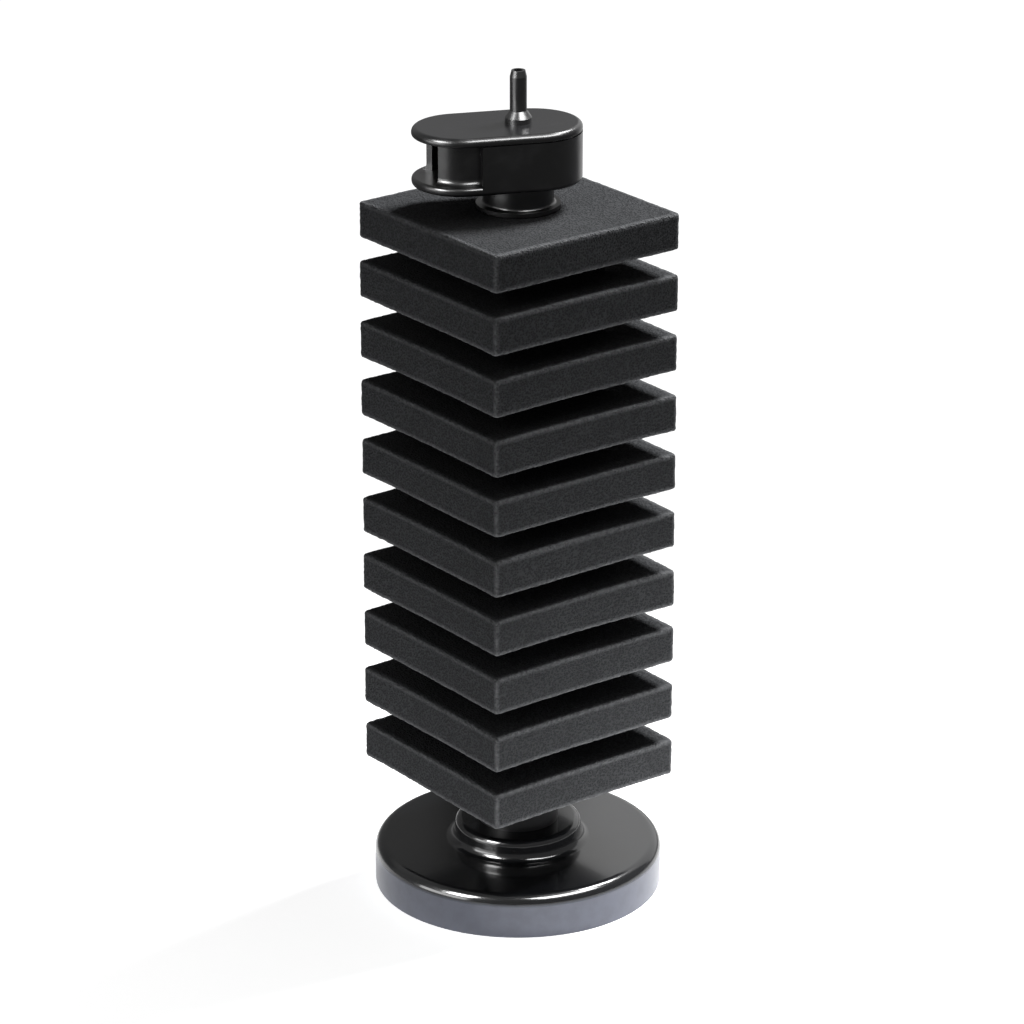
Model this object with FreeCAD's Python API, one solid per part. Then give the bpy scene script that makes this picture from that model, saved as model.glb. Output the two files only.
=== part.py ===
"""Air-driven sponge filter: weighted base, slotted core, finned foam block and swivelling outlet head.

Millimetres, +Z up. The origin is the centre of the base's underside, on the axis of the core.
The head's mouth points along head_direction, turned from +X about +Z.
"""

import FreeCAD, Part
import math
import os

Vec = FreeCAD.Vector
UP = Vec(0, 0, 1)

# Foam block
foam_side = 66.0
fin_count = 10
fin_thickness = 11.0
fin_gap = 7.2
foam_core_wall = 6.7
foam_bore_clearance = 0.3

# Base
base_radius = 43.0
base_height = 13.2
base_edge_radius = 3.0
base_wall = 2.0
base_top_thickness = 2.2
bottom_plate_thickness = 2.0
bottom_plate_clearance = 0.15
hub_height = 6.4
hub_edge_radius = 2.0
hub_foot_radius = 2.6
hub_wall = 2.0
hub_rib_thickness = 1.2
hub_inner_clearance = 0.65
weight_side_clearance = 0.6
weight_top_clearance = 0.3
peg_count = 4
peg_radius = 1.2
peg_length = 6.0
peg_boss_wall = 1.1
peg_clearance = 0.05
peg_end_gap = 0.5
peg_boss_gap = 0.3
peg_boss_overlap = 0.43

# Plug fits: what pushes into what, by hand
fit_clearance = 0.08
plug_depth = 6.0
plug_end_gap = 0.2
lead_in = 0.5

# Strainer sections
section_names = ("lower", "middle", "upper")
strainer_radius = 11.0
section_socket_wall = 0.92
section_plug_wall = 1.4
slots_around = 8
slot_rows = 3
slot_width = 2.2
slot_row_gap = 3.6
slot_end_margin = 5.2

# Strainer foot
foot_socket_wall = 1.92
foot_shoulder = 2.0
foot_floor_thickness = 2.0
foot_stem_height = 14.4
foot_flange_reach = 8.7
foot_flange_thickness = 2.5
foot_edge_radius = 1.0
foot_gusset_count = 4
foot_gusset_thickness = 1.6
foot_gusset_lift = 5.4
socket_floor_thickness = 1.6
socket_underside_gap = 2.4
socket_wall = 2.0

# Riser
riser_neck_radius = 10.25
riser_flange_overlap = 1.2
riser_flange_thickness = 1.2
riser_flange_gap = 0.3
neck_foot_radius = 0.8
swivel_shoulder = 1.75
swivel_wall = 1.3
swivel_end_gap = 0.2
swivel_tip_gap = 0.4

# Head
head_direction = 157.0
neck_height = 6.4
head_height = 17.0
head_width = 28.3
head_front_reach = 30.9
head_back_reach = 18.5
head_wall = 1.8
head_floor_thickness = 2.6
head_edge_share = 0.46
head_shoulder_reach = 13.8
lip_width = 3.0
lip_edge_share = 0.38
lip_flat_width = 0.2
mouth_half_angle = 41.0
cover_thickness = 2.6
cover_rim_share = 0.6
cover_rib_depth = 1.8
cover_rib_thickness = 1.2
cover_rib_clearance = 0.15
swivel_boss_wall = 1.6
swivel_boss_height = 5.0

# Air line parts
nipple_radius = 2.45
nipple_height = 15.2
nipple_tip_length = 1.8
nipple_tip_taper = 0.45
nipple_foot_overhang = 0.85
nipple_foot_height = 1.5
nipple_foot_taper = 2.0
nipple_bore_radius = 1.3
nipple_plug_radius = 3.0
nipple_boss_wall = 1.6
nipple_boss_depth = 3.0
press_clearance = 0.02
barb_radius = 2.0
barb_length = 6.0
barb_clearance = 0.05
barb_lead_in = 0.3
down_tube_wall = 0.95
diffuser_radius = 5.0
diffuser_length = 12.0
diffuser_wall = 1.3
diffuser_slit_count = 8
diffuser_slit_width = 1.0
diffuser_slit_height = 7.0
diffuser_height_above_seat = 10.0

# Radii that follow: each piece from the one it fits
socket_radius = strainer_radius - section_socket_wall
plug_radius = socket_radius - fit_clearance
strainer_bore_radius = plug_radius - section_plug_wall
foam_bore_radius = strainer_radius + foam_bore_clearance
foam_core_side = 2 * (foam_bore_radius + foam_core_wall)
foot_stem_radius = socket_radius + foot_socket_wall
foot_plug_radius = foot_stem_radius - foot_shoulder
foot_flange_radius = foam_bore_radius + foot_flange_reach
base_socket_radius = foot_plug_radius + fit_clearance
peg_boss_radius = peg_radius + peg_clearance + peg_boss_wall
peg_circle_radius = base_socket_radius + socket_wall + peg_boss_radius - peg_boss_overlap
hub_radius = peg_circle_radius + peg_boss_radius + hub_inner_clearance + hub_wall
riser_flange_radius = strainer_radius + riser_flange_overlap
swivel_radius = riser_neck_radius - swivel_shoulder
riser_bore_radius = swivel_radius - swivel_wall
nipple_foot_radius = nipple_plug_radius + nipple_foot_overhang

# Heights that follow, from the ground up
base_ceiling = base_height - base_top_thickness
hub_top = base_height + hub_height
hub_ceiling = hub_top - hub_wall
peg_boss_bottom = bottom_plate_thickness + peg_boss_gap
peg_top = bottom_plate_thickness + peg_length
base_socket_bottom = bottom_plate_thickness + socket_underside_gap + socket_floor_thickness
foot_bottom = base_socket_bottom + plug_end_gap
flange_bottom = hub_top + foot_stem_height
foam_bottom = flange_bottom + foot_flange_thickness
foam_top = foam_bottom + fin_count * fin_thickness + (fin_count - 1) * fin_gap
strainer_top = foam_top + riser_flange_gap
section_length = (strainer_top - foam_bottom) / len(section_names)
socket_depth = plug_depth + plug_end_gap
slotted_length = section_length - socket_depth - 2 * slot_end_margin
slot_height = (slotted_length - (slot_rows - 1) * slot_row_gap) / slot_rows
neck_bottom = strainer_top + riser_flange_thickness
neck_top = neck_bottom + neck_height
head_bottom = neck_top + swivel_end_gap
head_floor = head_bottom + head_floor_thickness
swivel_boss_top = head_floor + swivel_boss_height
swivel_top = swivel_boss_top - swivel_tip_gap
head_top = head_bottom + head_height
cover_bottom = head_top - cover_thickness
nipple_plug_bottom = cover_bottom - nipple_boss_depth
diffuser_bottom = foam_bottom + diffuser_height_above_seat
diffuser_top = diffuser_bottom + diffuser_length

# Outline and roundings of the head that follow
head_half_width = head_width / 2
head_front_centre = head_front_reach - head_half_width
head_back_centre = head_back_reach - head_half_width
nose_half_width = head_half_width - lip_width
head_edge_radius = head_floor_thickness * head_edge_share
lip_edge_radius = head_floor_thickness * lip_edge_share
lip_flare_radius = lip_width - lip_edge_radius - lip_flat_width
cover_rim_radius = cover_thickness * cover_rim_share


def cylinder(radius, bottom, top):
    """Upright cylinder on the core's axis."""
    return Part.makeCylinder(radius, top - bottom, Vec(0, 0, bottom))


def ring(outer_radius, inner_radius, bottom, top):
    """Upright tube on the core's axis."""
    return cylinder(outer_radius, bottom, top).cut(cylinder(inner_radius, bottom, top))


def square_prism(side, bottom, top):
    """Square prism centred on the axis, with its faces along X and Y."""
    return Part.makeBox(side, side, top - bottom, Vec(-side / 2, -side / 2, bottom))


def radial_box(inner_reach, outer_reach, thickness, bottom, top):
    """Box that runs along +X from inner_reach to outer_reach."""
    corner = Vec(inner_reach, -thickness / 2, bottom)
    return Part.makeBox(outer_reach - inner_reach, thickness, top - bottom, corner)


def spun_copies(shape, count, first_angle=0.0):
    """Copies of a shape, spread evenly about the axis."""
    copies = []
    for index in range(count):
        copy = shape.copy()
        copy.rotate(Vec(0, 0, 0), UP, first_angle + index * 360.0 / count)
        copies.append(copy)
    return copies


def fused(first, others):
    """One solid from touching shapes, with its needless seams removed."""
    return first.multiFuse(others).removeSplitter()


def turned(points):
    """Solid of revolution from (radius, height) corners."""
    corners = [Vec(radius, 0, height) for radius, height in points]
    outline = Part.makePolygon(corners + corners[:1])
    return Part.Face(outline).revolve(Vec(0, 0, 0), UP, 360)


def edges_at_height(shape, height, keep=lambda middle: True):
    """Edges that lie flat at a height and whose middle point passes the test."""
    found = []
    for edge in shape.Edges:
        middle = edge.valueAt((edge.FirstParameter + edge.LastParameter) / 2)
        heights = [vertex.Z for vertex in edge.Vertexes] + [middle.z]
        if max(abs(z - height) for z in heights) < 1e-4 and keep(middle):
            found.append(edge)
    return found


def peg_cylinder(radius, bottom, top):
    """Upright cylinder at the first peg's place."""
    return Part.makeCylinder(radius, top - bottom, Vec(peg_circle_radius, 0, bottom))


def stadium(half_width, front_centre, back_centre, bottom, top):
    """Upright prism with round ends and straight sides, along +X."""
    front_left = Vec(front_centre, half_width, bottom)
    front_tip = Vec(front_centre + half_width, 0, bottom)
    front_right = Vec(front_centre, -half_width, bottom)
    back_right = Vec(-back_centre, -half_width, bottom)
    back_tip = Vec(-back_centre - half_width, 0, bottom)
    back_left = Vec(-back_centre, half_width, bottom)
    outline = Part.Wire([
        Part.Arc(front_left, front_tip, front_right).toShape(),
        Part.LineSegment(front_right, back_right).toShape(),
        Part.Arc(back_right, back_tip, back_left).toShape(),
        Part.LineSegment(back_left, front_left).toShape(),
    ])
    return Part.Face(outline).extrude(Vec(0, 0, top - bottom))


def to_head_direction(shape):
    """A head piece, turned from +X to the way the mouth faces."""
    placed = shape.copy()
    placed.rotate(Vec(0, 0, 0), UP, head_direction)
    return placed


def on_hub_foot(point):
    """Whether a point lies on the hub's outline."""
    return math.hypot(point.x, point.y) < hub_radius + hub_foot_radius / 2


def on_base_edge(point):
    """Whether a point lies on the base's outline."""
    return math.hypot(point.x, point.y) > base_radius - base_edge_radius / 2


def make_base_cover():
    """Round cover with a rolled edge, a raised hub on a flared foot and the socket for the strainer foot."""
    shell = cylinder(base_radius, 0, base_height).fuse(cylinder(hub_radius, base_height, hub_top))
    shell = shell.makeFillet(hub_foot_radius, edges_at_height(shell, base_height, on_hub_foot))
    shell = shell.makeFillet(base_edge_radius, edges_at_height(shell, base_height, on_base_edge))
    shell = shell.makeFillet(hub_edge_radius, edges_at_height(shell, hub_top))
    shell = shell.cut(cylinder(base_radius - base_wall, 0, base_ceiling))
    hollow = cylinder(hub_radius - hub_wall, base_ceiling, hub_ceiling)
    socket = cylinder(base_socket_radius + socket_wall, base_socket_bottom - socket_floor_thickness, hub_top)
    rib = radial_box(base_socket_radius, hub_radius, hub_rib_thickness, base_ceiling, hub_ceiling)
    boss = peg_cylinder(peg_boss_radius, peg_boss_bottom, hub_ceiling)
    peg_hole = peg_cylinder(peg_radius + peg_clearance, peg_boss_bottom, peg_top + peg_end_gap)

    inner_pieces = [socket] + spun_copies(rib, peg_count, 180.0 / peg_count) + spun_copies(boss, peg_count)
    cover = fused(shell.cut(hollow), inner_pieces)
    cover = cover.cut(cylinder(base_socket_radius, base_socket_bottom, hub_top))
    for hole in spun_copies(peg_hole, peg_count):
        cover = cover.cut(hole)
    return cover


def make_base_weight():
    """Ballast ring that lies on the bottom plate, round the hub's bosses."""
    return ring(base_radius - base_wall - weight_side_clearance,
                hub_radius - hub_wall + weight_side_clearance,
                bottom_plate_thickness, base_ceiling - weight_top_clearance)


def make_base_bottom_plate():
    """Disc that closes the base, with pegs that press into the cover's bosses."""
    plate = cylinder(base_radius - base_wall - bottom_plate_clearance, 0, bottom_plate_thickness)
    peg = peg_cylinder(peg_radius, bottom_plate_thickness, peg_top)
    return fused(plate, spun_copies(peg, peg_count))


def make_strainer_foot():
    """Closed stem that plugs into the base, with the flange that the foam sits on."""
    foot = turned([
        (0, foot_bottom),
        (foot_plug_radius - lead_in, foot_bottom),
        (foot_plug_radius, foot_bottom + lead_in),
        (foot_plug_radius, hub_top),
        (foot_stem_radius, hub_top),
        (foot_stem_radius, flange_bottom),
        (foot_flange_radius, flange_bottom),
        (foot_flange_radius, foam_bottom),
        (socket_radius, foam_bottom),
        (socket_radius, foam_bottom - socket_depth),
        (strainer_bore_radius, foam_bottom - socket_depth),
        (strainer_bore_radius, foot_bottom + foot_floor_thickness),
        (0, foot_bottom + foot_floor_thickness),
    ])
    gusset_start = foot_stem_radius - foot_socket_wall / 2
    gusset_side = -foot_gusset_thickness / 2
    gusset = Part.Face(Part.makePolygon([
        Vec(gusset_start, gusset_side, flange_bottom),
        Vec(foot_flange_radius - foot_edge_radius, gusset_side, flange_bottom),
        Vec(gusset_start, gusset_side, hub_top + foot_gusset_lift),
        Vec(gusset_start, gusset_side, flange_bottom),
    ])).extrude(Vec(0, foot_gusset_thickness, 0))
    foot = foot.makeFillet(foot_edge_radius, edges_at_height(foot, flange_bottom))
    return fused(foot, spun_copies(gusset, foot_gusset_count))


def make_strainer_section(bottom):
    """Slotted tube with a plug below and a socket above, so that sections stack."""
    top = bottom + section_length
    section = turned([
        (strainer_bore_radius, bottom - plug_depth),
        (plug_radius - lead_in, bottom - plug_depth),
        (plug_radius, bottom - plug_depth + lead_in),
        (plug_radius, bottom),
        (strainer_radius, bottom),
        (strainer_radius, top),
        (socket_radius, top),
        (socket_radius, top - socket_depth),
        (strainer_bore_radius, top - socket_depth),
    ])
    for row in range(slot_rows):
        slot_bottom = bottom + slot_end_margin + row * (slot_height + slot_row_gap)
        slot = radial_box(strainer_bore_radius - fit_clearance, strainer_radius + fit_clearance,
                          slot_width, slot_bottom, slot_bottom + slot_height)
        section = section.cut(Part.makeCompound(spun_copies(slot, slots_around)))
    return section


def make_foam_block():
    """Square foam block, slit from all four sides into fins round a core, and bored for the strainer."""
    foam = square_prism(foam_side, foam_bottom, foam_top)
    for index in range(1, fin_count):
        slit_top = foam_bottom + index * (fin_thickness + fin_gap)
        slit = square_prism(foam_side, slit_top - fin_gap, slit_top)
        foam = foam.cut(slit.cut(square_prism(foam_core_side, slit_top - fin_gap, slit_top)))
    return foam.cut(cylinder(foam_bore_radius, foam_bottom, foam_top))


def on_neck_foot(point):
    """Whether a point lies where the neck meets its flange."""
    return math.hypot(point.x, point.y) < riser_neck_radius + neck_foot_radius / 2


def make_riser_tube():
    """Short tube that plugs into the strainer, holds the foam down and carries the head."""
    riser = turned([
        (riser_bore_radius, strainer_top - plug_depth),
        (plug_radius - lead_in, strainer_top - plug_depth),
        (plug_radius, strainer_top - plug_depth + lead_in),
        (plug_radius, strainer_top),
        (riser_flange_radius, strainer_top),
        (riser_flange_radius, neck_bottom),
        (riser_neck_radius, neck_bottom),
        (riser_neck_radius, neck_top),
        (swivel_radius, neck_top),
        (swivel_radius, swivel_top - lead_in),
        (swivel_radius - lead_in, swivel_top),
        (riser_bore_radius, swivel_top),
    ])
    return riser.makeFillet(neck_foot_radius, edges_at_height(riser, neck_bottom, on_neck_foot))


def on_lip_rim(point):
    """Whether a point lies on the lower lip's outer edge, ahead of the shoulder."""
    past_centre = max(point.x - head_front_centre, 0)
    reach = math.hypot(past_centre, point.y)
    return point.x > head_shoulder_reach and reach > nose_half_width + lip_width / 2


def on_nose_foot(point):
    """Whether a point lies where the nose's wall meets the lower lip."""
    past_centre = max(point.x - head_front_centre, 0)
    reach = math.hypot(past_centre, point.y)
    return point.x > head_shoulder_reach + lip_flat_width and reach < nose_half_width + lip_flat_width


def ahead_of(start, bottom, top):
    """Box over everything on the head that lies further forward than start."""
    size = head_front_reach + head_back_reach
    return Part.makeBox(size, size, top - bottom, Vec(start, -size / 2, bottom))


def head_stadium(inset, bottom, top):
    """Prism of the head's whole outline, drawn in by inset."""
    return stadium(head_half_width - inset, head_front_centre, head_back_centre, bottom, top)


def make_head_body():
    """Flat duct with a full-width back, a narrow nose, a mouth at its tip and a wide lower lip."""
    body = head_stadium(0, head_bottom, cover_bottom)
    body = body.makeFillet(head_edge_radius, edges_at_height(body, head_bottom))
    beside_nose = ahead_of(head_shoulder_reach, head_floor, cover_bottom)
    body = body.cut(beside_nose.cut(head_stadium(lip_width, head_floor, cover_bottom)))
    body = body.makeFillet(lip_edge_radius, edges_at_height(body, head_floor, on_lip_rim))
    body = body.makeFillet(lip_flare_radius, edges_at_height(body, head_floor, on_nose_foot))

    back_hollow = head_stadium(head_wall, head_floor, cover_bottom)
    back_hollow = back_hollow.cut(ahead_of(head_shoulder_reach - head_wall, head_floor, cover_bottom))
    nose_hollow = head_stadium(lip_width + head_wall, head_floor, cover_bottom)
    mouth = Part.makeCylinder(head_half_width, cover_bottom - head_floor,
                              Vec(head_front_centre, 0, head_floor), UP, 2 * mouth_half_angle)
    mouth.rotate(Vec(head_front_centre, 0, 0), UP, -mouth_half_angle)
    body = body.cut(back_hollow).cut(nose_hollow).cut(mouth)

    swivel_bore = swivel_radius + fit_clearance
    boss = cylinder(swivel_bore + swivel_boss_wall, head_bottom, swivel_boss_top)
    body = fused(body, [boss]).cut(cylinder(swivel_bore, head_bottom, swivel_boss_top))
    return to_head_direction(body)


def make_head_cover():
    """Top plate with rounded edges, a locating rib below and a boss for the nipple."""
    plate = head_stadium(0, cover_bottom, head_top)
    plate = plate.makeFillet(cover_rim_radius, edges_at_height(plate, head_top))
    plate = plate.makeFillet(cover_rim_radius / 2, edges_at_height(plate, cover_bottom))
    rib_bottom = cover_bottom - cover_rib_depth
    rib_inset = head_wall + cover_rib_clearance
    rib = head_stadium(rib_inset, rib_bottom, cover_bottom)
    rib = rib.cut(head_stadium(rib_inset + cover_rib_thickness, rib_bottom, cover_bottom))
    rib = rib.cut(ahead_of(head_shoulder_reach - rib_inset, rib_bottom, cover_bottom))
    plug_bore = nipple_plug_radius + press_clearance
    boss = cylinder(plug_bore + nipple_boss_wall, nipple_plug_bottom, cover_bottom)
    cover = fused(plate, [rib, boss]).cut(cylinder(plug_bore, nipple_plug_bottom, head_top))
    return to_head_direction(cover)


def make_air_nipple():
    """Upright nipple with a wide foot, a plug through the cover and a barb for the down tube."""
    return turned([
        (nipple_bore_radius, nipple_plug_bottom - barb_length),
        (barb_radius - barb_lead_in, nipple_plug_bottom - barb_length),
        (barb_radius, nipple_plug_bottom - barb_length + barb_lead_in),
        (barb_radius, nipple_plug_bottom),
        (nipple_plug_radius, nipple_plug_bottom),
        (nipple_plug_radius, head_top),
        (nipple_foot_radius, head_top),
        (nipple_foot_radius, head_top + nipple_foot_height),
        (nipple_radius, head_top + nipple_foot_height + nipple_foot_taper),
        (nipple_radius, head_top + nipple_height - nipple_tip_length),
        (nipple_radius - nipple_tip_taper, head_top + nipple_height),
        (nipple_bore_radius, head_top + nipple_height),
    ])


def make_air_down_tube():
    """Straight rigid tube from the nipple's barb to the diffuser's barb."""
    bore_radius = barb_radius + barb_clearance
    return ring(bore_radius + down_tube_wall, bore_radius,
                diffuser_top + plug_end_gap, nipple_plug_bottom - plug_end_gap)


def make_air_diffuser():
    """Closed cup with slits round its side and a barb for the down tube."""
    cavity_radius = diffuser_radius - diffuser_wall
    diffuser = turned([
        (0, diffuser_bottom),
        (diffuser_radius, diffuser_bottom),
        (diffuser_radius, diffuser_top),
        (barb_radius, diffuser_top),
        (barb_radius, diffuser_top + barb_length - barb_lead_in),
        (barb_radius - barb_lead_in, diffuser_top + barb_length),
        (nipple_bore_radius, diffuser_top + barb_length),
        (nipple_bore_radius, diffuser_top - diffuser_wall),
        (cavity_radius, diffuser_top - diffuser_wall),
        (cavity_radius, diffuser_bottom + diffuser_wall),
        (0, diffuser_bottom + diffuser_wall),
    ])
    slit_bottom = (diffuser_bottom + diffuser_top - diffuser_slit_height) / 2
    slit = radial_box(cavity_radius - diffuser_wall / 2, diffuser_radius + diffuser_wall / 2,
                      diffuser_slit_width, slit_bottom, slit_bottom + diffuser_slit_height)
    return diffuser.cut(Part.makeCompound(spun_copies(slit, diffuser_slit_count)))


parts = {
    "base_cover": make_base_cover(),
    "base_weight": make_base_weight(),
    "base_bottom_plate": make_base_bottom_plate(),
    "strainer_foot": make_strainer_foot(),
    "foam_block": make_foam_block(),
    "riser_tube": make_riser_tube(),
    "head_body": make_head_body(),
    "head_cover": make_head_cover(),
    "air_nipple": make_air_nipple(),
    "air_down_tube": make_air_down_tube(),
    "air_diffuser": make_air_diffuser(),
}
for index, place in enumerate(section_names):
    parts["strainer_section_" + place] = make_strainer_section(foam_bottom + index * section_length)

os.makedirs("parts", exist_ok=True)
for name, shape in parts.items():
    shape.exportStep("parts/" + name + ".step")
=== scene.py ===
import math

import bpy
import numpy as np
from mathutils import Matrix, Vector, noise


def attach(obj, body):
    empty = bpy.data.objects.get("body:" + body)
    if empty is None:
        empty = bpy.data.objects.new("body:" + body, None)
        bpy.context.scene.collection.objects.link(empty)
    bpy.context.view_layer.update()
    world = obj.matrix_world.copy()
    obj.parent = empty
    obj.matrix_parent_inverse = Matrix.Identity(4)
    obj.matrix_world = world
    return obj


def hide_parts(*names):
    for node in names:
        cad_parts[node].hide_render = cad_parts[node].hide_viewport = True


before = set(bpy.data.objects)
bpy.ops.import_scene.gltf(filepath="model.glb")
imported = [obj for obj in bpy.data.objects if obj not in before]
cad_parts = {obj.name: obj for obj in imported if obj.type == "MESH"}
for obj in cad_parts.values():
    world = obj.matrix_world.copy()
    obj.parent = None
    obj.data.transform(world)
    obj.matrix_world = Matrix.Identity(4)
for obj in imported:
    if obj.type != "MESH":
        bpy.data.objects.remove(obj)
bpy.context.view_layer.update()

bl_info = {
    "name": "Sponge Filter",
    "version": (1, 0, 0),
    "blender": (4, 5, 0),
    "location": "View3D > Sidebar > Sponge Filter",
    "description": "Finned foam, moulded plastics and studio for an air-driven sponge filter",
    "category": "Object",
}

MM = 0.001
UP = Vector((0, 0, 1))
WHITE = (1.0, 1.0, 1.0, 1.0)


# Measures read from the frame

def node_points(node):
    """Every vertex of a CAD node, in metres."""
    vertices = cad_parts[node].data.vertices
    points = np.empty(len(vertices) * 3)
    vertices.foreach_get("co", points)
    return points.reshape(-1, 3)


def foam_levels():
    """Heights of the underside and the top of each fin, lowest first."""
    heights = np.unique(np.round(node_points("foam_block")[:, 2], 5))
    return list(zip(heights[0::2], heights[1::2]))


def foam_halves():
    """Half the width of the fins, half the width of the core, and the bore's radius."""
    points = node_points("foam_block")
    reach = np.abs(points[:, :2]).max(axis=1)
    radius = np.hypot(points[:, 0], points[:, 1])
    outer = reach.max()
    bore = radius.min()
    core = reach[(reach < outer * 0.9) & (radius > bore * 1.05)].min()
    return outer, core, bore


# Settings

def length_setting(name, description, default):
    return bpy.props.FloatProperty(name=name, description=description, default=default,
                                   subtype="DISTANCE", unit="LENGTH", precision=5)


def angle_setting(name, description, default):
    return bpy.props.FloatProperty(name=name, description=description, default=default,
                                   subtype="ANGLE", unit="ROTATION")


def colour_setting(name, description, default):
    return bpy.props.FloatVectorProperty(name=name, description=description, default=default,
                                         size=3, min=0.0, max=1.0, subtype="COLOR")


def power_setting(name, description, default):
    return bpy.props.FloatProperty(name=name, description=description, default=default,
                                   min=0.0, subtype="POWER", unit="POWER")


class FoamSettings(bpy.types.PropertyGroup):
    """Shape and colour of the foam block."""
    edge_radius: length_setting("Edge radius", "Rounding of the fins' level edges", 0.7 * MM)
    corner_radius: length_setting("Corner radius", "Rounding of the fins' upright edges", 0.9 * MM)
    pore_depth: length_setting("Pore depth", "Height of the open-cell roughness", 0.14 * MM)
    waviness: length_setting("Waviness", "How far the cut faces wander", 0.3 * MM)
    droop: length_setting("Droop", "How far a fin's corners hang", 0.5 * MM)
    pore_size: length_setting("Pore size", "Width of one open cell", 0.65 * MM)
    colour: colour_setting("Colour", "Foam on its open faces", (0.078, 0.080, 0.084))
    # Painted shade: the darker colour down in the cells stands in for the shade that falls there.
    pit_shade_colour: colour_setting("Pit colour", "Foam down in its cells", (0.044, 0.0455, 0.048))
    # Painted highlight: the lighter colour along the cut edges stands in for the light that they catch.
    edge_highlight_colour: colour_setting("Edge colour", "Torn cells along the cut edges", (0.28, 0.285, 0.295))


class PlasticSettings(bpy.types.PropertyGroup):
    """Colours of the moulded pieces."""
    base_top: colour_setting("Base top", "Polished top of the base", (0.006, 0.0065, 0.008))
    # Painted reflection: the side wall's bluish grey stands in for the bright table that the black plastic
    # mirrors.
    skirt_reflection: colour_setting("Base skirt", "Side wall of the base", (0.125, 0.136, 0.178))
    head: colour_setting("Head", "Outlet head, riser and nipple", (0.005, 0.005, 0.006))
    core: colour_setting("Core", "Strainer and foot", (0.009, 0.009, 0.010))
    tube: colour_setting("Air tube", "Rigid tube inside the core", (0.62, 0.66, 0.68))
    diffuser: colour_setting("Diffuser", "Slotted end of the air tube", (0.16, 0.17, 0.18))
    ballast: colour_setting("Ballast", "Fired clay ring in the base", (0.36, 0.25, 0.18))


class StageSettings(bpy.types.PropertyGroup):
    """Camera, lamps and cards."""
    azimuth: angle_setting("Azimuth", "Direction of the camera round the filter", math.radians(-37.2))
    elevation: angle_setting("Elevation", "Height of the camera above the horizon", math.radians(21.33))
    distance: length_setting("Distance", "From the camera to the middle of the filter", 1.3)
    lens: bpy.props.FloatProperty(name="Lens", description="Focal length in millimetres", default=155.8)
    middle: length_setting("Middle height", "Height that the camera looks at", 0.1176)
    offset: length_setting("Side offset", "How far left of the axis the camera looks", 0.0018)
    key_power: power_setting("Key", "Softbox high behind the filter on the right", 13.5)
    top_power: power_setting("Top", "Softbox overhead", 0.6)
    near_power: power_setting("Near", "Low softbox close on the left", 0.42)
    low_glint: power_setting("Low glint", "Brightness of the card low on the left", 7.0)
    left_glint: power_setting("Left glint", "Brightness of the card on the left", 60.0)
    right_glint: power_setting("Right glint", "Brightness of the card on the right", 30.0)
    edge_power: power_setting("Edge", "Small softbox close by, low on the right", 0.075)
    sky: bpy.props.FloatProperty(name="Sky", description="Strength of the even light", default=0.03, min=0.0)
    table_glow: bpy.props.FloatProperty(name="Table glow", description="Light that the table under the "
                                        "filter gives back", default=0.8, min=0.0)


class SpongeFilterSettings(bpy.types.PropertyGroup):
    """Everything that a user may change."""
    foam: bpy.props.PointerProperty(type=FoamSettings)
    plastic: bpy.props.PointerProperty(type=PlasticSettings)
    stage: bpy.props.PointerProperty(type=StageSettings)


# Shader recipes

class Wire:
    """An output socket that takes part in arithmetic; each operation adds a Math node."""

    def __init__(self, recipe, socket):
        self.recipe = recipe
        self.socket = socket

    def maths(self, operation, *values):
        return self.recipe.node("ShaderNodeMath", {"operation": operation}, dict(enumerate(values)))

    def __add__(self, other):
        return self.maths("ADD", self, other)

    def __radd__(self, other):
        return self.maths("ADD", other, self)

    def __sub__(self, other):
        return self.maths("SUBTRACT", self, other)

    def __rsub__(self, other):
        return self.maths("SUBTRACT", other, self)

    def __mul__(self, other):
        return self.maths("MULTIPLY", self, other)

    def __rmul__(self, other):
        return self.maths("MULTIPLY", other, self)

    def smooth(self, low, high):
        """0 below low, 1 above high, and a soft step in between."""
        settings = {"interpolation_type": "SMOOTHSTEP", "clamp": True}
        return self.recipe.node("ShaderNodeMapRange", settings,
                                {"Value": self, "From Min": low, "From Max": high})


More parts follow.
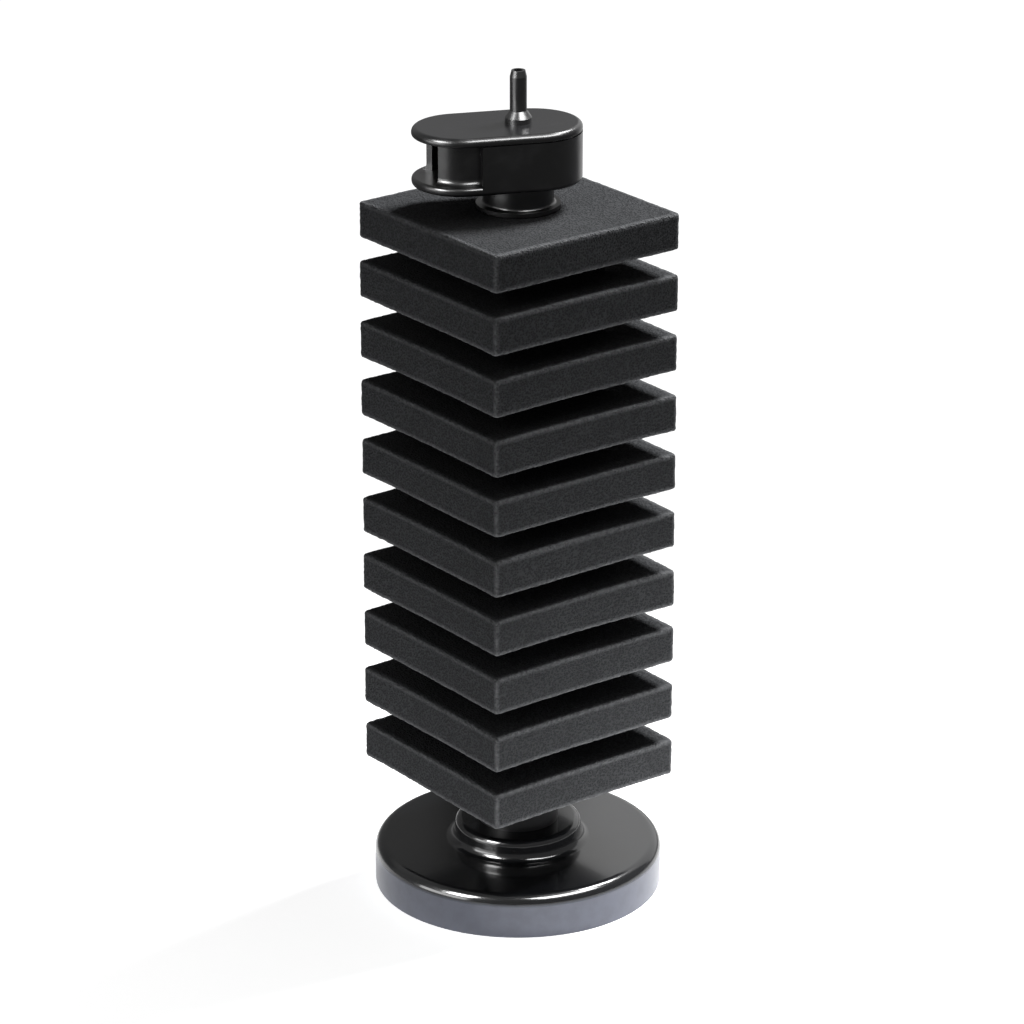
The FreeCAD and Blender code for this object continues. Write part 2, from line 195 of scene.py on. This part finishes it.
class Recipe:
    """The node tree of one new material, or of a new world."""

    def __init__(self, name, world=False):
        store = bpy.data.worlds if world else bpy.data.materials
        self.owner = store.new(name)
        self.owner.use_nodes = True
        self.tree = self.owner.node_tree
        self.tree.nodes.clear()

    def node(self, kind, settings=None, inputs=None, output=0):
        """Adds a node: its settings first, then a value or a wire for each named input."""
        made = self.tree.nodes.new(kind)
        for key, value in (settings or {}).items():
            setattr(made, key, value)
        for key, value in (inputs or {}).items():
            if isinstance(value, Wire):
                self.tree.links.new(value.socket, made.inputs[key])
            else:
                made.inputs[key].default_value = value
        return Wire(self, made.outputs[output]) if made.outputs else None

    def place(self):
        """Where a point lies on its piece, in metres."""
        return self.node("ShaderNodeTexCoord", output="Object")

    def height(self):
        """How high a point lies, in metres."""
        return self.node("ShaderNodeSeparateXYZ", inputs={"Vector": self.place()}, output="Z")

    def grain(self, size, detail=2.0, roughness=0.5):
        """Cloudy noise whose blots are about size across, from 0 to 1."""
        return self.node("ShaderNodeTexNoise", inputs={
            "Vector": self.place(), "Scale": 1.0 / size, "Detail": detail, "Roughness": roughness})

    def cells(self, size):
        """Distance to the nearest of many scattered points, in cells of that size."""
        return self.node("ShaderNodeTexVoronoi", inputs={"Vector": self.place(), "Scale": 1.0 / size},
                         output="Distance")

    def mix(self, share, first, second):
        """One colour blended into another."""
        return self.node("ShaderNodeMix", {"data_type": "RGBA"},
                         {0: share, 6: paint(first), 7: paint(second)}, output=2)

    def bump(self, height, strength, distance):
        """Small relief whose full height is distance."""
        return self.node("ShaderNodeBump", inputs={
            "Strength": strength, "Distance": distance, "Height": height})

    def finish(self, **inputs):
        """Ends the recipe with the shader whose sockets are given by their names in plain words."""
        named = {key.replace("_", " ").title().replace("Ior", "IOR"): value for key, value in inputs.items()}
        shader = self.node("ShaderNodeBsdfPrincipled", inputs=named)
        self.node("ShaderNodeOutputMaterial", inputs={"Surface": shader})
        return self.owner

    def glow(self, strength):
        """A white light of that strength."""
        return self.node("ShaderNodeEmission", inputs={"Color": WHITE, "Strength": strength})


def paint(colour):
    """A colour with its alpha, or a wire as it is."""
    return colour if isinstance(colour, Wire) else (*colour, 1.0)


def cut_foam(look):
    """Open-cell foam: pits with painted shade, and a painted highlight that lightens the cut edges."""
    recipe = Recipe("cut_foam")
    pits = recipe.cells(look.pore_size).smooth(0.15, 0.75)
    blots = recipe.grain(9 * MM, detail=4.0)
    edge = recipe.node("ShaderNodeAttribute", {"attribute_name": "cut_edge"}, output="Fac")
    # Painted highlight along the cut edges, broken up by noise.
    edge_highlight = edge * (0.35 + 0.5 * recipe.grain(1.1 * MM, detail=3.0).smooth(0.25, 0.7))
    # Painted shade in the pits of the cells.
    open_face = recipe.mix(pits, look.pit_shade_colour, look.colour)
    shaded = recipe.mix(blots.smooth(0.3, 0.8) * 0.35, open_face, [0.6 * c for c in look.colour])
    colour = recipe.mix(edge_highlight, shaded, look.edge_highlight_colour)
    height = pits * 0.7 + recipe.grain(0.5 * MM, detail=3.0) * 0.3
    return recipe.finish(base_color=colour, roughness=0.95, specular_ior_level=0.02,
                         normal=recipe.bump(height, 0.8, 0.35 * MM))


def base_height():
    """How high the base's flat top lies."""
    points = node_points("base_cover")
    radius = np.hypot(points[:, 0], points[:, 1])
    return points[radius > 0.9 * radius.max(), 2].max()


def base_plastic(look):
    """Polished black top, and a painted reflection of the bright table on the side wall, with faint swirls
    and dust.
    """
    skirt_start = 3.8 * MM
    skirt_end = 2.2 * MM
    dust_colour = (0.3, 0.3, 0.31)
    recipe = Recipe("base_plastic")
    top = base_height()
    # Painted reflection of the bright table on the side wall, from a little below the rim down.
    skirt = 1.0 - recipe.height().smooth(top - skirt_start, top - skirt_end)
    cloud = recipe.grain(14 * MM, detail=3.0)
    mottle = recipe.grain(4 * MM, detail=4.0).smooth(0.35, 0.7)
    darker = [0.8 * c for c in look.skirt_reflection]
    colour = recipe.mix(skirt, look.base_top, recipe.mix(mottle * 0.6, look.skirt_reflection, darker))
    dust = recipe.grain(0.8 * MM, detail=4.0).smooth(0.66, 0.8) * 0.12
    colour = recipe.mix(dust, colour, dust_colour)
    rough = 0.14 + skirt * 0.12 + cloud * 0.08
    return recipe.finish(base_color=colour, roughness=rough, coat_weight=0.4, coat_roughness=0.08,
                         normal=recipe.bump(recipe.grain(5 * MM), 0.05, 0.2 * MM))


def moulded_plastic(name, colour, gloss, specular=0.5):
    """Moulded plastic with a fine spark texture and slight handling marks."""
    spark_size = 0.35 * MM
    spark_depth = 0.02 * MM
    recipe = Recipe(name)
    worn = recipe.grain(6 * MM, detail=5.0, roughness=0.6).smooth(0.45, 0.75)
    lighter = [min(1.0, c * 1.6 + 0.004) for c in colour]
    rough = (1.0 - gloss) + worn * 0.08
    return recipe.finish(base_color=recipe.mix(worn * 0.4, colour, lighter), roughness=rough,
                         specular_ior_level=specular,
                         normal=recipe.bump(recipe.grain(spark_size, detail=1.0), 0.25, spark_depth))


def fired_clay(colour):
    """Rough unglazed ballast."""
    recipe = Recipe("fired_clay")
    speck = recipe.grain(0.9 * MM, detail=5.0)
    darker = [0.7 * c for c in colour]
    return recipe.finish(base_color=recipe.mix(speck.smooth(0.35, 0.65), darker, colour), roughness=0.9,
                         normal=recipe.bump(speck, 0.5, 0.2 * MM))


# Mesh building

FOAM_COLUMNS = 288
STEPS_UNDER_BLOCK = 9
STEPS_UP_CUT = 11
STEPS_UP_CORE = 4
STEPS_OVER_BLOCK = 20
STEPS_DOWN_BORE = 8
STEPS_ALONG_FIN = (0.0, 0.3, 0.55, 0.75, 0.9)
CORNER_CROWDING = 0.07
BORE_BLEND_POWER = 1.5
# Width of the painted highlight along the cut edges.
EDGE_HIGHLIGHT_WIDTH = 1.6 * MM
WANDERS_PER_METRE = 28
SWAYS_PER_METRE = 14
PORES_PER_METRE = 900
FINE_PORES_PER_METRE = 1700
FINE_PORE_SHARE = 0.6
FIN_SHIFT = (3.7, 1.9, 5.3)
SWAY_SHIFT = 2.3


def link_mesh(name, vertices, faces):
    """A new smooth mesh object from corner points in metres."""
    mesh = bpy.data.meshes.new(name)
    mesh.from_pydata([tuple(v) for v in vertices], [], faces)
    mesh.update()
    mesh.shade_smooth()
    piece = bpy.data.objects.new(name, mesh)
    bpy.context.scene.collection.objects.link(piece)
    return piece


def ring_faces(rows, columns):
    """Quads of a grid that closes on itself both ways."""
    faces = []
    for row in range(rows):
        above = (row + 1) % rows
        for column in range(columns):
            beside = (column + 1) % columns
            faces.append((row * columns + column, row * columns + beside,
                          above * columns + beside, above * columns + column))
    return faces


def spaced(start, end, count):
    """Even steps from start, which stop one short of end."""
    return np.linspace(start, end, count, endpoint=False)


def quarter_turn(centre_half, centre_height, radius, start_angle, steps=3):
    """Points of a rounded edge, as (half width, height), turning a quarter from start_angle."""
    angles = start_angle + np.linspace(0, math.pi / 2, steps)
    return [(centre_half + radius * math.cos(a), centre_height + radius * math.sin(a)) for a in angles]


def foam_profile(levels, outer, core, bore, edge):
    """Outline of the fins as (half width, height, share of the way to the round bore)."""
    points = []
    for index, (low, high) in enumerate(levels):
        reach = outer - edge
        if index == 0:
            for step in spaced(0, 1, STEPS_UNDER_BLOCK):
                points.append((bore + (reach - bore) * step, low, 1 - step))
        else:
            for step in STEPS_ALONG_FIN:
                points.append((core + (reach - core) * step, low, 0))
        for half, height in quarter_turn(reach, low + edge, edge, -math.pi / 2):
            points.append((half, height, 0))
        for height in spaced(low + edge, high - edge, STEPS_UP_CUT)[1:]:
            points.append((outer, height, 0))
        for half, height in quarter_turn(reach, high - edge, edge, 0):
            points.append((half, height, 0))
        if index < len(levels) - 1:
            for step in STEPS_ALONG_FIN[::-1]:
                points.append((core + (reach - core) * step, high, 0))
            for height in spaced(high, levels[index + 1][0], STEPS_UP_CORE)[1:]:
                points.append((core, height, 0))
        else:
            for step in spaced(0, 1, STEPS_OVER_BLOCK)[1:]:
                points.append((reach + (bore - reach) * step, high, step))
            for height in spaced(high, levels[0][0], STEPS_DOWN_BORE):
                points.append((bore, height, 1))
    return points


def square_loop(count):
    """Directions round a square, each with its corner share: 1 at a corner, 0 half way along a side."""
    per_side = count // 4
    shares = np.linspace(-1, 1, per_side, endpoint=False)
    shares = shares + CORNER_CROWDING * np.sin(math.pi * shares)
    loop = []
    for quarter in range(4):
        turn = quarter * math.pi / 2
        for share in shares:
            x, y = 1.0, share
            loop.append((x * math.cos(turn) - y * math.sin(turn), x * math.sin(turn) + y * math.cos(turn)))
    return np.array(loop)


def foam_grid(profile, count, corner):
    """Points of the foam: the profile swept round a square with rounded corners, or round the bore."""
    loop = square_loop(count)
    unit = loop / np.linalg.norm(loop, axis=1)[:, None]
    grid = np.empty((len(profile), count, 3))
    for row, (half, height, roundness) in enumerate(profile):
        square = loop * half
        inside = np.clip(square, -(half - corner), half - corner)
        off = square - inside
        length = np.linalg.norm(off, axis=1)[:, None]
        rounded = inside + off / np.maximum(length, 1e-9) * corner
        blend = roundness ** BORE_BLEND_POWER
        grid[row, :, :2] = rounded * (1 - blend) + unit * half * blend
        grid[row, :, 2] = height
    return grid


def edge_shares(profile, levels, outer, loop_count):
    """How near each point is to a cut edge, which sets the painted edge highlight: 1 on the edge, 0 a little
    way off.
    """
    loop = np.abs(square_loop(loop_count))
    rows = []
    for half, height, roundness in profile:
        nearest = min(min(abs(height - low), abs(height - high)) for low, high in levels)
        level_edge = math.hypot(nearest, outer - half)
        corner_edge = (1 - loop.min(axis=1)) * half + (outer - half)
        distance = np.minimum(level_edge, corner_edge)
        rows.append(np.clip(1 - distance / EDGE_HIGHLIGHT_WIDTH, 0, 1) * (1 - roundness))
    return np.array(rows)


def roughened(grid, look, levels, outer):
    """The foam's points with wandering cuts, drooping corners and open cells."""
    middle_levels = [0.5 * (low + high) for low, high in levels]
    rows, columns, _ = grid.shape
    along = np.roll(grid, -1, axis=1) - np.roll(grid, 1, axis=1)
    up = np.roll(grid, -1, axis=0) - np.roll(grid, 1, axis=0)
    normals = np.cross(along, up)
    normals /= np.maximum(np.linalg.norm(normals, axis=2), 1e-12)[:, :, None]
    result = grid.copy()
    for row in range(rows):
        for column in range(columns):
            point = Vector(grid[row, column])
            reach = max(abs(point.x), abs(point.y)) / outer
            fin = int(np.argmin([abs(point.z - m) for m in middle_levels]))
            shift = Vector([fin * step for step in FIN_SHIFT])
            slow = noise.noise(point * WANDERS_PER_METRE + shift)
            fine = noise.noise(point * FINE_PORES_PER_METRE)
            quick = noise.noise(point * PORES_PER_METRE) + FINE_PORE_SHARE * fine
            corner = (abs(point.x * point.y) / outer ** 2) ** 2
            spot = (fin * SWAY_SHIFT, point.x * SWAYS_PER_METRE, point.y * SWAYS_PER_METRE)
            sway = noise.noise(Vector(spot))
            fall = look.droop * corner * (0.4 + 0.8 * sway) * (reach > 0.5)
            push = look.waviness * slow * reach + look.pore_depth * quick
            moved = point + Vector(normals[row, column]) * push
            moved.z -= fall
            result[row, column] = moved
    return result


# Pieces

def settings(context):
    """The user's settings for the filter."""
    return context.scene.sponge_filter


def finish_node(node, material):
    """Gives a CAD node its material."""
    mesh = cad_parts[node].data
    mesh.materials.clear()
    mesh.materials.append(material)


class FILTER_OT_foam(bpy.types.Operator):
    """Builds the foam block with its fins"""
    bl_idname = "sponge_filter.foam"
    bl_label = "Foam block"

    def execute(self, context):
        look = settings(context).foam
        levels = foam_levels()
        outer, core, bore = foam_halves()
        inset = look.pore_depth
        profile = foam_profile(levels, outer - inset, core, bore + inset, look.edge_radius)
        grid = foam_grid(profile, FOAM_COLUMNS, look.corner_radius)
        edges = edge_shares(profile, levels, outer, FOAM_COLUMNS)
        grid = roughened(grid, look, levels, outer)
        foam = link_mesh("foam_column", grid.reshape(-1, 3), ring_faces(len(profile), FOAM_COLUMNS))
        shares = foam.data.attributes.new("cut_edge", "FLOAT", "POINT")
        shares.data.foreach_set("value", edges.reshape(-1).astype(np.float32))
        foam.data.materials.append(cut_foam(look))
        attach(foam, "foam")
        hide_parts("foam_block")
        return {"FINISHED"}


class FILTER_OT_base(bpy.types.Operator):
    """Finishes the base: cover, ballast and bottom plate"""
    bl_idname = "sponge_filter.base"
    bl_label = "Base"

    def execute(self, context):
        look = settings(context).plastic
        finish_node("base_cover", base_plastic(look))
        finish_node("base_weight", fired_clay(look.ballast))
        finish_node("base_bottom_plate", moulded_plastic("bottom_plastic", look.core, 0.5))
        return {"FINISHED"}


class FILTER_OT_core(bpy.types.Operator):
    """Finishes the strainer foot and the strainer sections"""
    bl_idname = "sponge_filter.core"
    bl_label = "Strainer"

    def execute(self, context):
        look = settings(context).plastic
        plastic = moulded_plastic("core_plastic", look.core, 0.6, specular=0.3)
        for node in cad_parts:
            if node.startswith("strainer_"):
                finish_node(node, plastic)
        return {"FINISHED"}


class FILTER_OT_head(bpy.types.Operator):
    """Finishes the riser, the outlet head and the nipple"""
    bl_idname = "sponge_filter.head"
    bl_label = "Outlet head"

    def execute(self, context):
        look = settings(context).plastic
        plastic = moulded_plastic("head_plastic", look.head, 0.72, specular=0.5)
        for node in ("riser_tube", "head_body", "head_cover"):
            finish_node(node, plastic)
        finish_node("air_nipple", moulded_plastic("nipple_plastic", look.head, 0.72, specular=0.7))
        return {"FINISHED"}


class FILTER_OT_air_line(bpy.types.Operator):
    """Finishes the tube inside the core and its diffuser"""
    bl_idname = "sponge_filter.air_line"
    bl_label = "Air tube"

    def execute(self, context):
        look = settings(context).plastic
        finish_node("air_down_tube", moulded_plastic("tube_plastic", look.tube, 0.75))
        finish_node("air_diffuser", moulded_plastic("diffuser_plastic", look.diffuser, 0.4))
        return {"FINISHED"}


class FILTER_OT_stage(bpy.types.Operator):
    """Sets the floor, the sky, the lamps and the camera"""
    bl_idname = "sponge_filter.stage"
    bl_label = "Studio"

    def execute(self, context):
        look = settings(context).stage
        make_floor(look)
        make_flag(look)
        make_glints(look)
        make_sky(context.scene, look.sky)
        make_lamps(look)
        make_camera(context.scene, look)
        context.scene.view_settings.view_transform = "Standard"
        return {"FINISHED"}


# Studio

TABLE_HALF = 4.0
NEAR_TABLE, FAR_TABLE = 0.06, 0.28
SHADOW_DEPTH = 0.12
TABLE_SHINE, NEAR_TABLE_SHINE = 0.12, 0.48
SKY_SHINE = 0.3
CARD_DISTANCE = 1.0
DARK_SHADE, GREY_SHADE, PALE_SHADE = 0.035, 0.345, 0.14
GREY_START, GREY_END = 0.20, 0.34
WHITE_START, WHITE_END = 0.004, 0.026
PALE_END, PALE_START = -0.038, -0.016
CARD_LEAN = 0.05


def flat_card(name, half_width, half_height, material):
    """A level rectangle about the origin."""
    corners = [(-half_width, -half_height, 0), (half_width, -half_height, 0),
               (half_width, half_height, 0), (-half_width, half_height, 0)]
    card = link_mesh(name, corners, [(0, 1, 2, 3)])
    card.data.materials.append(material)
    return card


def ray(recipe, kind):
    """1 for rays of that kind, and 0 for the others."""
    return recipe.node("ShaderNodeLightPath", output="Is " + kind + " Ray")


def make_floor(look):
    """A white table that keeps the shadow. Its middle is lit, and lights the lowest fins from below."""
    recipe = Recipe("studio_floor")
    spread = recipe.node("ShaderNodeVectorMath", {"operation": "LENGTH"}, {0: recipe.place()}, output="Value")
    near = 1.0 - spread.smooth(NEAR_TABLE, FAR_TABLE)
    camera = ray(recipe, "Camera") + ray(recipe, "Transmission")
    glossy = ray(recipe, "Glossy")
    bounced = 1.0 - camera - glossy
    seen = camera * (1.0 - SHADOW_DEPTH * near)
    mirrored = glossy * (TABLE_SHINE + NEAR_TABLE_SHINE * near)
    strength = seen + mirrored + bounced * (look.table_glow * near)
    whiteness = recipe.mix(near, (0.12, 0.12, 0.12), (0.8, 0.8, 0.8))
    diffuse = recipe.node("ShaderNodeBsdfDiffuse", inputs={"Color": whiteness})
    both = recipe.node("ShaderNodeAddShader", inputs={0: diffuse, 1: recipe.glow(strength)})
    recipe.node("ShaderNodeOutputMaterial", inputs={"Surface": both})
    floor = flat_card("studio_floor", TABLE_HALF, TABLE_HALF, recipe.owner)


def make_flag(look):
    """A card behind the filter that only reflections see: dark below, grey above, white on the right."""
    right, back = camera_axes(look)
    recipe = Recipe("dark_card")
    high = recipe.height().smooth(GREY_START, GREY_END)
    across = recipe.node("ShaderNodeVectorMath", {"operation": "DOT_PRODUCT"}, {0: recipe.place(), 1: right},
                         output="Value")
    open_right = (across - CARD_LEAN * high).smooth(WHITE_START, WHITE_END)
    open_left = (1.0 - across.smooth(PALE_END, PALE_START)) * (1.0 - high) * PALE_SHADE
    shade = high * GREY_SHADE + DARK_SHADE + open_left
    shade = shade + open_right * (1.0 - shade)
    recipe.node("ShaderNodeOutputMaterial", inputs={"Surface": recipe.glow(shade)})
    right_edge = right * 0.6 - back * 0.4
    left_edge = right * -0.6 - back * 0.25
    foot, head = UP * 0.05, UP * 0.7
    card = link_mesh("dark_card", [right_edge + foot, left_edge + foot, left_edge + head, right_edge + head],
                     [(0, 1, 2, 3)])
    card.data.materials.append(recipe.owner)
    show_to_reflections(card)


def show_to_reflections(card):
    """Only reflections see the card."""
    card.visible_camera = False
    card.visible_diffuse = False
    card.visible_shadow = False
    card.visible_transmission = False


def make_glints(look):
    """Bright cards, high on both sides and low on the left, for the highlights along rounded edges."""
    right, back = camera_axes(look)
    middle = UP * look.middle
    placed = (
        ("left_card", right * -0.62 + back * 0.50 + UP * 0.57, (0.34, 0.40), look.left_glint),
        ("right_card", right * 0.49 + back * 0.35 + UP * 0.95, (0.80, 0.34), look.right_glint),
        ("low_card", right * -0.85 + back * 0.50 + UP * 0.05, (0.75, 0.45), look.low_glint),
    )
    for name, direction, (width, height), strength in placed:
        recipe = Recipe(name)
        recipe.node("ShaderNodeOutputMaterial", inputs={"Surface": recipe.glow(strength)})
        card = flat_card(name, width / 2, height / 2, recipe.owner)
        card.location = middle + direction.normalized() * CARD_DISTANCE
        aim(card, middle)
        show_to_reflections(card)


def make_sky(scene, strength):
    """A white sky that gives little light, and that reflections see dimmer."""
    recipe = Recipe("studio_sky", world=True)
    seen = ray(recipe, "Camera") + ray(recipe, "Transmission")
    level = seen * (1.0 - strength) + ray(recipe, "Glossy") * SKY_SHINE + strength
    sky = recipe.node("ShaderNodeBackground", inputs={"Color": WHITE, "Strength": level})
    recipe.node("ShaderNodeOutputWorld", inputs={"Surface": sky})
    scene.world = recipe.owner


def camera_axes(look):
    """Level unit vectors: to the camera's right, and from the filter back to the camera."""
    right = Vector((math.cos(look.azimuth), math.sin(look.azimuth), 0))
    back = Vector((math.sin(look.azimuth), -math.cos(look.azimuth), 0))
    return right, back


def aim(thing, target):
    """Turns a lamp, a card or the camera to face a place."""
    direction = thing.location - Vector(target)
    thing.rotation_mode = "QUATERNION"
    thing.rotation_quaternion = direction.to_track_quat("Z", "Y")


def soft_lamp(name, place, target, size, power, shine):
    """A rectangular softbox that the camera doesn't see. Reflections see it if it has shine."""
    lamp = bpy.data.lights.new(name, "AREA")
    lamp.shape = "RECTANGLE"
    lamp.size, lamp.size_y = size
    lamp.energy = power
    thing = bpy.data.objects.new(name, lamp)
    thing.location = place
    aim(thing, target)
    thing.visible_camera = False
    thing.visible_glossy = shine
    bpy.context.scene.collection.objects.link(thing)


def make_lamps(look):
    """The softboxes, each with its direction, distance, size and power."""
    right, back = camera_axes(look)
    middle = UP * look.middle
    placed = (
        ("key_softbox", right * 0.45 - back * 0.32 + UP * 0.80, 1.0, (0.26, 0.26), look.key_power, True),
        ("top_softbox", right * 0.30 - back * 0.10 + UP * 0.95, 1.0, (0.35, 0.35), look.top_power, True),
        ("near_softbox", right * -0.85 + back * 0.50 - UP * 0.10, 0.45, (0.36, 0.22), look.near_power, False),
        ("edge_softbox", right * 0.12 + back * 0.07 - UP * 0.10, 0.17, (0.10, 0.03), look.edge_power, False),
    )
    for name, direction, reach, size, power, shine in placed:
        soft_lamp(name, middle + direction.normalized() * reach, middle, size, power, shine)


def make_camera(scene, look):
    """The camera, level with the ground from side to side and aimed at the filter's middle."""
    right, back = camera_axes(look)
    target = UP * look.middle - right * look.offset
    lens = bpy.data.cameras.new("camera")
    lens.sensor_width = 36.0
    lens.lens = look.lens
    lens.clip_start = 0.05
    lens.clip_end = 50.0
    camera = bpy.data.objects.new("camera", lens)
    rise = UP * math.sin(look.elevation)
    camera.location = target + (back * math.cos(look.elevation) + rise) * look.distance
    aim(camera, target)
    scene.collection.objects.link(camera)
    scene.camera = camera


# Add-on

OPERATORS = (FILTER_OT_stage, FILTER_OT_foam, FILTER_OT_base, FILTER_OT_core, FILTER_OT_head,
             FILTER_OT_air_line)


class FILTER_PT_panel(bpy.types.Panel):
    """Buttons for each piece, with its settings"""
    bl_label = "Sponge Filter"
    bl_idname = "FILTER_PT_panel"
    bl_space_type = "VIEW_3D"
    bl_region_type = "UI"
    bl_category = "Sponge Filter"

    def draw(self, context):
        for operator in OPERATORS:
            self.layout.operator(operator.bl_idname)
        for group in (settings(context).foam, settings(context).plastic, settings(context).stage):
            box = self.layout.box()
            for key in group.__annotations__:
                box.prop(group, key)


CLASSES = (FoamSettings, PlasticSettings, StageSettings, SpongeFilterSettings, *OPERATORS, FILTER_PT_panel)


def register():
    """Adds the settings, the operators and the panel."""
    for made in CLASSES:
        bpy.utils.register_class(made)
    bpy.types.Scene.sponge_filter = bpy.props.PointerProperty(type=SpongeFilterSettings)


def unregister():
    """Takes them away again."""
    del bpy.types.Scene.sponge_filter
    for made in reversed(CLASSES):
        bpy.utils.unregister_class(made)


def main():
    """Builds the whole filter."""
    register()
    for operator in OPERATORS:
        group, name = operator.bl_idname.split(".")
        getattr(getattr(bpy.ops, group), name)()


if __name__ == "__main__":
    main()
